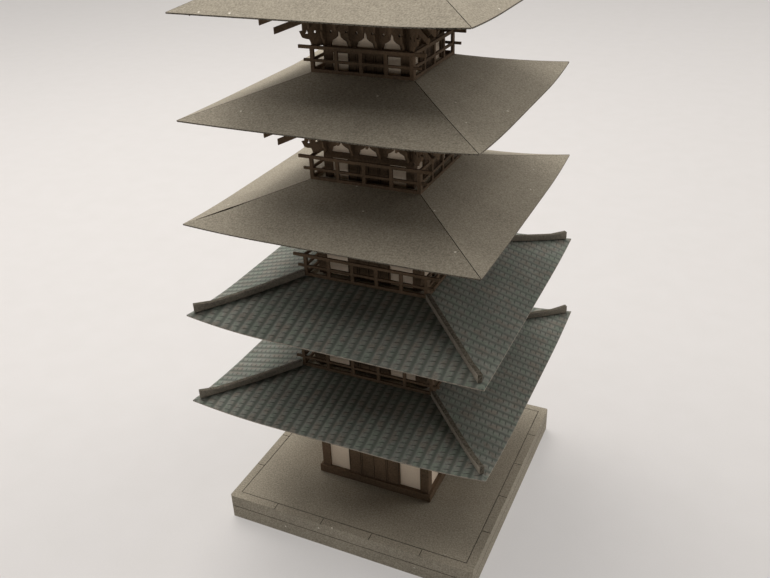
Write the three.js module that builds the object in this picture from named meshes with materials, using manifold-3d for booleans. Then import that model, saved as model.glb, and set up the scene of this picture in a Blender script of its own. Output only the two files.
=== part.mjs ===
// A five-storey pagoda, as a laser-cut card model on a square base, about 210 mm tall.
// The two lower roofs already wear their tile skins and hip ridges, the three upper
// roofs are still bare grey card. Millimetres, +Z up, origin under the middle of the base,
// front face towards -Y.
import * as THREE from "three";
import { mergeVertices } from "three/addons/utils/BufferGeometryUtils.js";
import Module from "manifold-3d";

// Stock that the model is cut from
const CARD = 0.5; // wall, frame, bracket and railing card
const ROOF_CARD = 0.3; // grey cover and brown rafter board of each roof
const SKIN = 0.3; // embossed tile skin on the two lower roofs
const SKIN_OVERHANG = 1.0; // of a tile skin beyond the cover under it
const BOARD_INSET = 0.8; // of a rafter board inside the edge of its cover
const GLUE = 0.05; // glue line between curved layers
const CUT_PAST = 1; // a cut runs this far beyond the card that it goes through

// Base: a deck on a folded strip of four side walls
const BASE_HALF = 36;
const BASE_TOP = 7.6;
const DECK = 1.0;
const BASE_WALL = 1.0;
const BASE_CHAMFER = 0.4;

// Sill round the foot of the ground storey
const SILL_HALF = 17.1;
const SILL_HEIGHT = 2.4;

// Storeys from the ground up. body: half-width over the timber frame. door and bay: half-width
// of the door and outer edge of the white bays beside it. wall: floor to the bracket foot.
const STOREYS = [
  { body: 16.4, door: 7.8, bay: 13.9, wall: 19.9 },
  { body: 16.2, door: 5.9, bay: 13.0, wall: 9.0 },
  { body: 14.0, door: 5.7, bay: 11.8, wall: 8.0 },
  { body: 11.6, door: 5.4, bay: 9.6, wall: 6.0 },
  { body: 10.5, door: 4.4, bay: 8.4, wall: 5.1 },
];

// Roofs from the ground up. eave: half-width at the eaves. level: height of the eaves between
// the corners. lifts: rise of the corners over that, from the front left one round by the right;
// they differ a little, as the roofs are folded by hand. top: half-width of the flat that carries
// the next storey, which is also the half-width of its railing. peak: its height.
const ROOFS = [
  { eave: 39.9, level: 41.0, lifts: [1.5, 1.5, 1.5, 1.5], top: 18.7, peak: 45.5, tiled: true },
  { eave: 38.4, level: 66.0, lifts: [1.8, 0, 1.0, 1.3], top: 16.8, peak: 72.2, tiled: true },
  { eave: 36.5, level: 91.0, lifts: [0.7, 0.3, 1.4, 1.1], top: 14.3, peak: 97.6, tiled: false },
  { eave: 34.9, level: 116.0, lifts: [0.2, 0.9, 1.5, 1.2], top: 12.6, peak: 123.0, tiled: false },
  { eave: 33.5, level: 138.9, lifts: [0, 0.7, 0.9, 0.9], top: 2.5, peak: 152.3, tiled: false },
];
const TOP_SHIFT = -1.0; // the top roof and its finial are glued on this far off centre, along X
const TOP_RAILING_SHIFT = -0.3; // and the railing of the top storey this far
const CURL_FROM = 0.4; // the eave is level up to this part of its half-length, then curls up
const EAVE_STEPS = [-1, -0.8, -0.55, 0, 0.55, 0.8]; // stations along one eave
const SLOPE_STEPS = [1, 0.7, 0.4, 0]; // stations from the eave to the flat top
const BOARD_FLAT_MARGIN = 0.5; // flat of the top board beyond the storey under it

// Timber frame on each wall
const HEAD_BEAM = 0.9;

// Bracket zone: a plate round the body with three ogee openings a side, and four arms a side
const OGEE_WIDTH = 0.69; // of the spacing of the bracket groups
const OGEE_HEIGHT = 3.6;
const CORNER_GROUP_INSET = 0.9;
const ARM_FOOT = 0.6; // the arms start this far over the bracket foot
const ARM_CLEARANCE = 0.3; // between an arm and the railing below it or the board above it

// Curved lower edge of a corner arm: distance out from the walls, measured along one side,
// and height over the arm's foot. The arms in the walls reach less far.
const WALL_ARM_REACH = 0.6; // of the corner arm's
const ARM_HEEL = 1.1; // this much of an arm goes on down behind a railing that lifts its foot
const ARM_CURVE = [
  [1.95, 0],
  [1.95, 0.3],
  [2.2, 1.1],
  [2.8, 1.3],
  [3.3, 1.6],
  [3.5, 2.3],
  [3.7, 3.0],
  [3.2, 3.1],
];

// Tail rafters that slope down and out of each arm: reach from the wall, and height of the
// lower edge at the tip over the arm's foot. An arm in a wall has one, a corner arm two.
const WALL_TAILS = [{ reach: 7.7, tip: 4.6 }];
const CORNER_TAILS = [
  { reach: 7.7, tip: 3.0 },
  { reach: 9.9, tip: 5.2 },
];
const TAIL_DEPTH = 1.4;
const TAIL_SLOPE = 0.357;

// Hip rafter under each corner of the rafter board
const HIP_RAFTER_DEPTH = 2.0;
const HIP_RAFTER_START = 6.5; // beyond the body, along one side
const HIP_RAFTER_REACH = 0.9; // of the eave half-width

// Railings
const RAIL_HEIGHT = 5.9;
const POST = 0.85;
const BOTTOM_RAIL = 0.75;
const MID_RAIL = [2.35, 2.95];
const TOP_RAIL = 0.75;
const TOP_OVERSHOOT = 2.9;
const MID_OVERSHOOT = 1.7;
const BAYS = [5, 5, 4, 4]; // bays a side, on storeys 2 to 5

// Hip ridges on the tiled roofs
const RIDGE_WIDTH = 1.15;
const RIDGE_HEIGHT = 1.5;
const RIDGE_SHORT = 1.4; // stops this far inside the corner, along one side
const RIDGE_FLARE = 0.7; // its outer end rises this much more
const RIDGE_FLARE_RUN = 3.2; // over this length, along one side

// Finial: a box on the roof and a mast of two slotted card profiles with nine rings
const FINIAL_BOX_HEIGHT = 2.4;
const FINIAL_CAP_HALF = 3.1;
const FINIAL_CAP_HEIGHT = 0.5;
const MAST_HEIGHT = 54;
const MAST_HALF = 0.5;
const RING_COUNT = 9;
const RING_FIRST = 9.0;
const RING_STEP = 3.3;
const RING_HEIGHT = 0.9;
const RING_HALF = [3.2, 2.1]; // lowest and highest ring
const FLAME_BASE = 40.5;
const FLAME_HALF = 1.8;

const wasm = await Module();
wasm.setup();

// Finishes

function card(colour, roughness) {
  return new THREE.MeshStandardMaterial({ color: colour, roughness, metalness: 0 });
}

const greyCard = () => card(0x77715f, 0.9);
const brownCard = () => card(0x3a2c20, 0.85);
const whiteCard = () => card(0xd8cfc6, 0.85);
const tileCard = () => card(0x5c6763, 0.8);
const ridgeCard = () => card(0x4a423a, 0.85);

// Solids: join and cut through manifold meshes, and turn back to three.js geometry

function solid(geometry) {
  const bare = geometry.clone();
  bare.deleteAttribute("normal");
  bare.deleteAttribute("uv");
  const merged = mergeVertices(bare, 1e-4);
  return new wasm.Manifold(
    new wasm.Mesh({
      numProp: 3,
      vertProperties: new Float32Array(merged.attributes.position.array),
      triVerts: new Uint32Array(merged.index.array),
    }),
  );
}

function toGeometry(manifold) {
  const mesh = manifold.getMesh();
  const geometry = new THREE.BufferGeometry();
  geometry.setAttribute("position", new THREE.BufferAttribute(mesh.vertProperties, 3));
  geometry.setIndex(new THREE.BufferAttribute(mesh.triVerts, 1));
  return geometry;
}

function join(geometries) {
  return toGeometry(geometries.map(solid).reduce((whole, piece) => whole.add(piece)));
}

function outline(points) {
  return new THREE.Shape(points.map(([x, y]) => new THREE.Vector2(x, y)));
}

function extrude(points, depth) {
  return new THREE.ExtrudeGeometry(outline(points), { depth, bevelEnabled: false });
}

// A plate of card with openings cut right through it.
function cutPlate(points, thickness, openings) {
  const plate = extrude(points, thickness);
  if (!openings.length) return plate;
  const tools = openings.map((opening) =>
    solid(extrude(opening, thickness + 2 * CUT_PAST).translate(0, 0, -CUT_PAST)),
  );
  return toGeometry(tools.reduce((left, tool) => left.subtract(tool), solid(plate)));
}

// The plate drawn in the XZ plane, from y = back towards -Y by its thickness.
function upright(points, thickness, back, openings = []) {
  return cutPlate(points, thickness, openings)
    .rotateX(Math.PI / 2)
    .translate(0, back, 0);
}

// The same geometry on all four sides of the tower.
function fourSides(geometry) {
  return [0, 1, 2, 3].map((side) => geometry.clone().rotateZ((side * Math.PI) / 2));
}

function rectangle(centre, half, low, high) {
  return [
    [centre - half, low],
    [centre + half, low],
    [centre + half, high],
    [centre - half, high],
  ];
}

function squarePoints(half) {
  return rectangle(0, half, -half, half);
}

function chamferedPoints(half, chamfer) {
  const near = half - chamfer;
  return [
    [-near, -half],
    [near, -half],
    [half, -near],
    [half, near],
    [near, half],
    [-near, half],
    [-half, near],
    [-half, -near],
  ];
}

// A level slab or ring between two heights.
function slab(points, low, high, inner) {
  return cutPlate(points, high - low, inner ? [inner] : []).translate(0, 0, low);
}

// Roof surface: level along the middle of each eave, curled up at the corners, and straight
// from the eave to the flat top that carries the next storey. distance is measured from the
// axis square to the eave, along runs from -1 to 1 between the two corners, and lift is the
// rise of the nearer one.

function curvedHeight(roof, distance, along, lift) {
  const outward = (distance - roof.top) / (roof.eave - roof.top);
  const curl = Math.max(0, (Math.abs(along) - CURL_FROM) / (1 - CURL_FROM));
  return roof.peak + (roof.level - roof.peak) * outward + lift * (curl * outward) ** 2;
}

function stations(roof) {
  return SLOPE_STEPS.map((step) => roof.top + (roof.eave - roof.top) * step);
}

// The same surface in flat facets between the stations, so that all layers run parallel.
function roofHeight(roof, distance, along, lift) {
  if (distance <= roof.top) return roof.peak;
  const outer = Math.min(...stations(roof).filter((station) => station >= distance));
  const inner = Math.max(...stations(roof).filter((station) => station <= distance));
  const share = outer === inner ? 0 : (distance - inner) / (outer - inner);
  const low = curvedHeight(roof, outer, along, lift);
  return curvedHeight(roof, inner, along, lift) * (1 - share) + low * share;
}

// One card layer of a roof: drop below the finished surface, thickness, and the half-widths
// of its own flat top and of its outer edge. Rings of points run from that edge to the flat.
function roofLayer(roof, drop, thickness, flat, edge) {
  const positions = [];
  const faces = [];
  const ringSize = 4 * EAVE_STEPS.length;
  const addRing = (distance, lower) => {
    for (let side = 0; side < 4; side += 1) {
      const turn = (side * Math.PI) / 2;
      for (const along of EAVE_STEPS) {
        const x = along * distance;
        const y = -distance;
        const lift = roof.lifts[along > 0 ? (side + 1) % 4 : side];
        const run = distance > flat ? along : 0;
        const height = roofHeight(roof, Math.max(distance, flat), run, lift);
        positions.push(
          x * Math.cos(turn) - y * Math.sin(turn),
          x * Math.sin(turn) + y * Math.cos(turn),
          height - drop - (lower ? thickness : 0),
        );
      }
    }
  };
  const between = stations(roof).filter((station) => station > flat && station < edge);
  const distances = [edge, ...between, flat];
  distances.forEach((distance) => addRing(distance, false));
  distances.forEach((distance) => addRing(distance, true));
  const rings = distances.length;
  const point = (ring, i) => ring * ringSize + (i % ringSize);
  for (let ring = 0; ring < rings - 1; ring += 1) {
    for (let i = 0; i < ringSize; i += 1) {
      const lower = ring + rings;
      // Each quad is split so that its diagonal runs the same way on both surfaces
      faces.push(point(ring, i), point(ring, i + 1), point(ring + 1, i + 1));
      faces.push(point(ring, i), point(ring + 1, i + 1), point(ring + 1, i));
      faces.push(point(lower, i), point(lower + 1, i + 1), point(lower, i + 1));
      faces.push(point(lower, i), point(lower + 1, i), point(lower + 1, i + 1));
    }
  }
  const centre = positions.length / 3;
  const flatHeight = roofHeight(roof, flat, 0, 0) - drop;
  positions.push(0, 0, flatHeight, 0, 0, flatHeight - thickness);
  for (let i = 0; i < ringSize; i += 1) {
    faces.push(point(rings - 1, i), point(rings - 1, i + 1), centre);
    faces.push(point(2 * rings - 1, i + 1), point(2 * rings - 1, i), centre + 1);
    faces.push(point(rings, i), point(rings, i + 1), point(0, i));
    faces.push(point(rings, i + 1), point(0, i + 1), point(0, i));
  }
  const geometry = new THREE.BufferGeometry();
  geometry.setAttribute("position", new THREE.Float32BufferAttribute(positions, 3));
  geometry.setIndex(faces);
  return geometry;
}

// How far each layer's top lies below the finished surface
function layers(roof) {
  const cover = roof.tiled ? SKIN + GLUE : 0;
  const board = cover + ROOF_CARD + GLUE;
  return { cover, board, underside: board + ROOF_CARD };
}

function coverEdge(roof) {
  return roof.tiled ? roof.eave - SKIN_OVERHANG : roof.eave;
}

// Shift of a roof along X, off the storey that carries it
function shiftOf(index) {
  return index === ROOFS.length - 1 ? TOP_SHIFT : 0;
}

// The flat of a board covers the storey under it, also where the roof is off centre.
function boardFlat(index) {
  const covered = STOREYS[index].body + BOARD_FLAT_MARGIN + Math.abs(shiftOf(index));
  return Math.max(ROOFS[index].top, covered);
}

// Height of the rafter board's underside at a distance from the axis, at a corner of its own
// lift or, for what has to clear all four, at the lowest one
function undersideAt(index, distance, along, lift = Math.min(...ROOFS[index].lifts)) {
  const roof = ROOFS[index];
  const flat = boardFlat(index);
  const height = roofHeight(roof, Math.max(distance, flat), distance > flat ? along : 0, lift);
  return height - layers(roof).underside;
}

// The same over a point of the storey below: where the roof is off centre, on its lower side
function ceilingAt(index, distance, along) {
  return undersideAt(index, distance + Math.abs(shiftOf(index)), along);
}

// Base

function baseDeck() {
  return slab(chamferedPoints(BASE_HALF, BASE_CHAMFER), BASE_TOP - DECK, BASE_TOP);
}

function baseWalls() {
  const inner = squarePoints(BASE_HALF - BASE_WALL - BASE_CHAMFER / 2);
  return slab(chamferedPoints(BASE_HALF, BASE_CHAMFER), 0, BASE_TOP - DECK, inner);
}

// Storeys

function floorOf(index) {
  return index === 0 ? BASE_TOP : ROOFS[index - 1].peak;
}

function bracketFoot(index) {
  return floorOf(index) + STOREYS[index].wall;
}

function wallBox(index) {
  const outer = STOREYS[index].body - CARD;
  const top = undersideAt(index, outer, 0);
  return slab(squarePoints(outer), floorOf(index), top, squarePoints(outer - CARD));
}

// The brown frame on the white box: corner posts, door and head beam on each side, with two
// openings that show the white card. Upstairs these are open at the floor.
function timberFrame(index) {
  const { body, door, bay } = STOREYS[index];
  const low = floorOf(index);
  const high = bracketFoot(index);
  const bayFoot = index === 0 ? BASE_TOP + SILL_HEIGHT : low - CUT_PAST;
  const bays = [-1, 1].map((side) =>
    rectangle((side * (door + bay)) / 2, (bay - door) / 2, bayFoot, high - HEAD_BEAM),
  );
  const face = upright(rectangle(0, body, low, high), CARD, -(body - CARD), bays);
  return join(fourSides(face));
}

function sill() {
  const top = BASE_TOP + SILL_HEIGHT;
  return slab(squarePoints(SILL_HALF), BASE_TOP, top, squarePoints(STOREYS[0].body));
}

// Brackets

function ogeePoints(centre, foot, halfWidth) {
  const profile = [
    [1, 0],
    [0.83, 0.33],
    [0.45, 0.46],
    [0.21, 0.59],
    [0.16, 0.82],
    [0, 1],
  ];
  const right = profile.map(([x, z]) => [centre + x * halfWidth, foot + z * OGEE_HEIGHT]);
  const left = profile
    .slice(0, -1)
    .reverse()
    .map(([x, z]) => [centre - x * halfWidth, foot + z * OGEE_HEIGHT]);
  return [...right, ...left];
}

// The arms clear the railing that stands in front of them.
function armFoot(index) {
  const foot = bracketFoot(index) + ARM_FOOT;
  return index === 0 ? foot : Math.max(foot, floorOf(index) + RAIL_HEIGHT + ARM_CLEARANCE);
}

// The outline of one bracket arm with its tail rafters: distance out from the wall and height.
// topAt gives the height of its upper edge, which follows the rafter board.
function armPoints(index, curve, tails, topAt) {
  const foot = armFoot(index);
  const low = bracketFoot(index) + ARM_FOOT;
  const heel = foot > low ? [[-CARD / 2, low], [ARM_HEEL, low], [ARM_HEEL, foot]] : [[-CARD / 2, low]];
  const points = [...heel, ...curve.map(([out, z]) => [out, foot + z])];
  const [out] = curve[curve.length - 1];
  for (const { reach, tip } of tails) {
    const lower = foot + tip;
    const rise = (reach - out) * TAIL_SLOPE;
    points.push([out, lower + rise], [reach, lower], [reach, lower + TAIL_DEPTH]);
    points.push([out, lower + rise + TAIL_DEPTH]);
  }
  // The upper edge is level under the flat of the board, which may end beyond the arm's plate
  const flatEnd = boardFlat(index) - STOREYS[index].body - Math.abs(shiftOf(index));
  const bend = Math.min(out, Math.max(0, flatEnd));
  if (bend < out) points.push([out, topAt(out)]);
  points.push([bend, topAt(bend)], [-CARD / 2, topAt(bend)]);
  return points;
}

function wallArm(index, across) {
  const { body } = STOREYS[index];
  const topAt = (out) => ceilingAt(index, body + out, across / (body + out)) - ARM_CLEARANCE;
  // Drawn facing +X, then turned to face -Y and moved to its place on the wall
  const curve = ARM_CURVE.map(([out, z]) => [out * WALL_ARM_REACH, z]);
  const arm = upright(armPoints(index, curve, WALL_TAILS, topAt), CARD, CARD / 2);
  return arm.rotateZ(-Math.PI / 2).translate(across, -body, 0);
}

function cornerArm(index) {
  const { body } = STOREYS[index];
  const topAt = (out) => ceilingAt(index, body + out, 1) - ARM_CLEARANCE;
  const diagonal = armPoints(index, ARM_CURVE, CORNER_TAILS, topAt).map(([out, z]) => [
    (body + out) * Math.SQRT2,
    z,
  ]);
  return upright(diagonal, CARD, CARD / 2).rotateZ(-Math.PI / 4);
}

function groupPlaces(index) {
  const outer = STOREYS[index].body - CORNER_GROUP_INSET;
  return [-outer, -outer / 3, outer / 3, outer];
}

function bracketSide(index) {
  const { body } = STOREYS[index];
  const foot = bracketFoot(index);
  const top = undersideAt(index, body, 0);
  const places = groupPlaces(index);
  const spacing = places[1] - places[0];
  const ogees = [-spacing, 0, spacing].map((centre) =>
    ogeePoints(centre, foot + CARD, (spacing * OGEE_WIDTH) / 2),
  );
  const plate = upright(rectangle(0, body, foot, top), CARD, -(body - CARD), ogees);
  return [plate, ...places.map((across) => wallArm(index, across)), cornerArm(index)];
}

function brackets(index) {
  return join(bracketSide(index).flatMap(fourSides));
}

// Roofs

// Turn of a strip drawn towards +X that brings it over a corner, in the order of the lifts
function cornerTurn(corner) {
  return ((2 * corner - 3) * Math.PI) / 4;
}

function raftersBoard(index) {
  const roof = ROOFS[index];
  const flat = boardFlat(index);
  const boardEdge = coverEdge(roof) - BOARD_INSET;
  const board = roofLayer(roof, layers(roof).board, ROOF_CARD, flat, boardEdge);
  const start = STOREYS[index].body + HIP_RAFTER_START;
  const reach = roof.eave * HIP_RAFTER_REACH;
  const knees = stations(roof).filter((station) => station > start && station < reach);
  const inward = [reach, ...knees, start];
  const hips = roof.lifts.map((lift, corner) => {
    const edge = (places, rise) =>
      places.map((q) => [q * Math.SQRT2, undersideAt(index, q, 1, lift) + rise]);
    const outward = [...inward].reverse();
    const strip = [...edge(inward, ROOF_CARD / 2), ...edge(outward, -HIP_RAFTER_DEPTH)];
    return upright(strip, CARD, CARD / 2).rotateZ(cornerTurn(corner));
  });
  return join([board, ...hips]);
}

function roofCover(index) {
  const roof = ROOFS[index];
  return roofLayer(roof, layers(roof).cover, ROOF_CARD, roof.top, coverEdge(roof));
}

function tileSkin(index) {
  const roof = ROOFS[index];
  return roofLayer(roof, 0, SKIN, roof.top, roof.eave);
}

// A strip on edge along the hip, with its outer end flared up and cut upright.
function hipRidge(index, corner) {
  const roof = ROOFS[index];
  const start = roof.top + 0.1;
  const end = roof.eave - RIDGE_SHORT;
  const bend = end - RIDGE_FLARE_RUN;
  const knees = stations(roof).filter((station) => station > start && station < end);
  const footAt = (q) => roofHeight(roof, q, 1, roof.lifts[corner]) + GLUE;
  const crestAt = (q) => {
    const flare = RIDGE_FLARE * Math.max(0, (q - bend) / RIDGE_FLARE_RUN);
    return footAt(q) + RIDGE_HEIGHT + flare;
  };
  const along = (heights, height) => heights.map((q) => [q * Math.SQRT2, height(q)]);
  const upwards = (a, b) => a - b;
  const foot = [start, ...knees, end].sort(upwards);
  const crest = [start, ...knees, bend, end].sort(upwards).reverse();
  return upright([...along(foot, footAt), ...along(crest, crestAt)], RIDGE_WIDTH, RIDGE_WIDTH / 2);
}

// Balconies

// One railing panel, drawn from its left end to its right end at x = ±half. Rails that
// overshoot run past both ends.
function railingPanel(half, bays, overshoots, back) {
  const top = RAIL_HEIGHT;
  const [midLow, midHigh] = MID_RAIL;
  const topRun = half + (overshoots ? TOP_OVERSHOOT : 0);
  const midRun = half + (overshoots ? MID_OVERSHOOT : 0);
  const right = overshoots
    ? [
        [half, midLow],
        [midRun, midLow],
        [midRun, midHigh],
        [half, midHigh],
        [half, top - TOP_RAIL],
        [topRun, top - TOP_RAIL],
        [topRun, top],
      ]
    : [[half, top]];
  const left = right.map(([x, z]) => [-x, z]).reverse();
  const pitch = (2 * half - POST) / bays;
  const openings = [];
  for (let bay = 0; bay < bays; bay += 1) {
    const centre = -half + POST / 2 + (bay + 0.5) * pitch;
    openings.push(rectangle(centre, (pitch - POST) / 2, BOTTOM_RAIL, midLow));
    openings.push(rectangle(centre, (pitch - POST) / 2, midHigh, top - TOP_RAIL));
  }
  const edge = [[-half, 0], [half, 0], ...right, ...left];
  return upright(edge, CARD, -back, openings);
}

function balcony(index) {
  const { top: half, peak } = ROOFS[index];
  const bays = BAYS[index];
  const front = railingPanel(half, bays, true, half - CARD);
  const side = railingPanel(half - CARD, bays, false, half - CARD);
  const turned = (geometry, quarter) => geometry.clone().rotateZ((quarter * Math.PI) / 2);
  const panels = [front, turned(front, 2), turned(side, 1), turned(side, 3)];
  return join(panels).translate(0, 0, peak);
}

// Finial

function finialBase() {
  const { top, peak } = ROOFS[4];
  return join([
    slab(squarePoints(top), peak, peak + FINIAL_BOX_HEIGHT),
    slab(
      squarePoints(FINIAL_CAP_HALF),
      peak + FINIAL_BOX_HEIGHT,
      peak + FINIAL_BOX_HEIGHT + FINIAL_CAP_HEIGHT,
    ),
  ]);
}

// Right-hand edge of the mast profile, from the cap upwards.
function mastEdge() {
  const edge = [
    [2.4, 0],
    [2.2, 1.2],
    [1.4, 2.2],
    [MAST_HALF, 2.6],
    [MAST_HALF, 3.6],
    [2.3, 4.6],
    [2.3, 5.1],
    [MAST_HALF, 5.1],
  ];
  for (let ring = 0; ring < RING_COUNT; ring += 1) {
    const share = ring / (RING_COUNT - 1);
    const half = RING_HALF[0] + (RING_HALF[1] - RING_HALF[0]) * share;
    const z = RING_FIRST + ring * RING_STEP;
    edge.push([MAST_HALF, z], [half, z], [half, z + RING_HEIGHT], [MAST_HALF, z + RING_HEIGHT]);
  }
  edge.push(
    [MAST_HALF, FLAME_BASE],
    [FLAME_HALF, FLAME_BASE + 1.5],
    [FLAME_HALF * 0.8, FLAME_BASE + 4.5],
    [MAST_HALF, FLAME_BASE + 7.5],
    [MAST_HALF, FLAME_BASE + 8.8],
    [1.1, FLAME_BASE + 9.8],
    [1.1, FLAME_BASE + 10.6],
    [0.35, MAST_HEIGHT - 1.2],
  );
  return edge;
}

function finialMast() {
  const edge = mastEdge();
  const left = edge.map(([x, z]) => [-x, z]).reverse();
  const plate = upright([...edge, [0, MAST_HEIGHT], ...left], CARD, CARD / 2);
  const foot = ROOFS[4].peak + FINIAL_BOX_HEIGHT + FINIAL_CAP_HEIGHT;
  return join([plate, plate.clone().rotateZ(Math.PI / 2)]).translate(0, 0, foot);
}

// Assembly

const pagoda = new THREE.Group();

function add(name, geometry, material, shift = 0) {
  const mesh = new THREE.Mesh(geometry, material);
  mesh.name = name;
  mesh.position.x = shift;
  pagoda.add(mesh);
  return mesh;
}

add("base_deck", baseDeck(), greyCard());
add("base_walls", baseWalls(), greyCard());
add("storey_1_sill", sill(), brownCard());

STOREYS.forEach((storey, index) => {
  const number = index + 1;
  add(`storey_${number}_walls`, wallBox(index), whiteCard());
  add(`storey_${number}_frame`, timberFrame(index), brownCard());
  add(`storey_${number}_brackets`, brackets(index), brownCard());
});

ROOFS.forEach((roof, index) => {
  const number = index + 1;
  add(`roof_${number}_rafter_board`, raftersBoard(index), brownCard(), shiftOf(index));
  add(`roof_${number}_cover`, roofCover(index), greyCard(), shiftOf(index));
  if (!roof.tiled) return;
  add(`roof_${number}_tiles`, tileSkin(index), tileCard());
  ["front_left", "front_right", "back_right", "back_left"].forEach((place, corner) => {
    const ridge = add(`roof_${number}_ridge_${place}`, hipRidge(index, corner), ridgeCard());
    ridge.rotation.z = cornerTurn(corner);
  });
});

BAYS.forEach((bays, index) => {
  const shift = index === BAYS.length - 1 ? TOP_RAILING_SHIFT : 0;
  add(`balcony_${index + 2}`, balcony(index), brownCard(), shift);
});

add("finial_base", finialBase(), brownCard(), TOP_SHIFT);
add("finial_mast", finialMast(), brownCard(), TOP_SHIFT);

export default pagoda;
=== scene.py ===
# %% [markdown]
# # A five-storey pagoda in laser-cut card
# The real object is a small card kit, part finished. Every part is cut from sheet card half
# a millimetre thick or less: white card boxes for the walls, brown card for the timber, grey
# board for the roofs, and embossed tile sheets that so far cover the two lower roofs only.
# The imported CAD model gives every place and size. This file gives each part the finish of
# its own card, and remodels the ones whose detail is finer than the CAD shape: the curved
# roof sheets, the tile sheets, the scored base, the engraved doors, the pierced brackets and
# the ridge strips.

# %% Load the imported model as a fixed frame
import math

import bmesh
import bpy
from mathutils import Matrix, Vector


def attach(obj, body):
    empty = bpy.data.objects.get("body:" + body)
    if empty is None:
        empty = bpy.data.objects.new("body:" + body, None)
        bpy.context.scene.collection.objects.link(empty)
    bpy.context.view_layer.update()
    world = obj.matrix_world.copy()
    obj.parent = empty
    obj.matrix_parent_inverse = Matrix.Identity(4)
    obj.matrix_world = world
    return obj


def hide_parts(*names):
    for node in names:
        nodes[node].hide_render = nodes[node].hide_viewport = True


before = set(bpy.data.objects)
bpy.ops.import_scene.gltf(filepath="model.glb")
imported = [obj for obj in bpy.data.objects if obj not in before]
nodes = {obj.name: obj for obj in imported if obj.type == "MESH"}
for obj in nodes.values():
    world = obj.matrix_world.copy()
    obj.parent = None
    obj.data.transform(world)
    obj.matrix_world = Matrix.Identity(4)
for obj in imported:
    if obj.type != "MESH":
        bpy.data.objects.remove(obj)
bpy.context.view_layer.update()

MM = 0.001  # sizes below are in millimetres, Blender works in metres

# %% [markdown]
# ## The camera
# The picture was taken from above the front right corner, close to a small model, so near
# parts look clearly larger than far ones. A camera matched to the corners of the base and
# roofs gives its place and turn. The four vectors are written out, because a camera aimed
# with a tracking constraint would lose the slight roll of the picture.

# %% Camera
EYE = Vector((82.286, -176.713, 171.509)) * MM
RIGHTWARD = Vector((0.90899, 0.41552, -0.03282))
UPWARD = Vector((-0.17654, 0.45513, 0.87275))
FORWARD = Vector((-0.37758, 0.78753, -0.48707))

camera_data = bpy.data.cameras.new("photo_camera")
camera_data.lens = 38.99
camera_data.sensor_width = 36.0
camera_data.clip_start = 0.01
camera = bpy.data.objects.new("photo_camera", camera_data)
turn = Matrix((RIGHTWARD, UPWARD, -FORWARD)).transposed()
camera.matrix_world = Matrix.Translation(EYE) @ turn.to_quaternion().to_matrix().to_4x4()
bpy.context.scene.collection.objects.link(camera)
bpy.context.scene.camera = camera
print("camera", [round(value, 4) for value in camera.location])

# %% [markdown]
# ## Materials: small helpers
# A colour is easiest to read as the hex value that a paint program shows, but shaders add
# and multiply light, so they need linear values. One function converts. Another adds one
# node with its settings and its links, so that each material below reads as a short recipe.

# %% Colour and node helpers
def linear(hex_colour):
    """The linear RGBA value of an sRGB hex colour."""
    channels = [int(hex_colour[i : i + 2], 16) / 255 for i in (1, 3, 5)]
    return (*[c / 12.92 if c <= 0.04045 else ((c + 0.055) / 1.055) ** 2.4 for c in channels], 1)


def add_node(tree, kind, inputs=None, **settings):
    """Adds a node. inputs gives each socket a value, or another node's output to link to."""
    made = tree.nodes.new(kind)
    for name, value in settings.items():
        setattr(made, name, value)
    for socket, value in (inputs or {}).items():
        if isinstance(value, bpy.types.NodeSocket):
            tree.links.new(value, made.inputs[socket])
        else:
            made.inputs[socket].default_value = value
    return made


def set_ramp(ramp_node, stops):
    """Gives a Color Ramp node its stops, as pairs of a position and a linear colour."""
    ramp = ramp_node.color_ramp
    while len(ramp.elements) > 1:
        ramp.elements.remove(ramp.elements[-1])
    ramp.elements[0].position, ramp.elements[0].color = stops[0]
    for position, colour in stops[1:]:
        ramp.elements.new(position).color = colour
    return ramp_node


def empty_material(name):
    """A new node material with only its output, and that output."""
    material = bpy.data.materials.new(name)
    material.use_nodes = True
    material.node_tree.nodes.clear()
    output = material.node_tree.nodes.new("ShaderNodeOutputMaterial")
    return material, material.node_tree, output


# %% [markdown]
# ## Card, the one stock
# Card is pressed paper pulp. It is matt, so its roughness is high and its gloss low. Its
# colour drifts softly over centimetres, and single fibres of about half a millimetre show
# as a fine grain. Grey board is made of waste paper, so it also has a few white flecks. A
# laser cut it, and burnt every cut edge darker than the faces, in patches, because fibres
# char unevenly. A scan of paper would show all this too, but would repeat and stretch. So
# drift, grain and flecks are noise on Object coordinates, at sizes worked out from those
# lengths, and the pieces made below mark their cut faces with an attribute. One function
# then makes every card.

# %% Card shader
CARD_IOR = 1.45  # cellulose
DRIFT_MM = 11  # length over which the tone drifts
FLECK_SPACING_MM = 3.6
FLECK_ODDS = 0.3  # share of the fleck places that really have one
GRAIN_RELIEF_MM = 0.03  # height that the fibres stand up
CUT_EDGE = "cut_edge"  # face attribute: 1 where the laser went through


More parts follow.
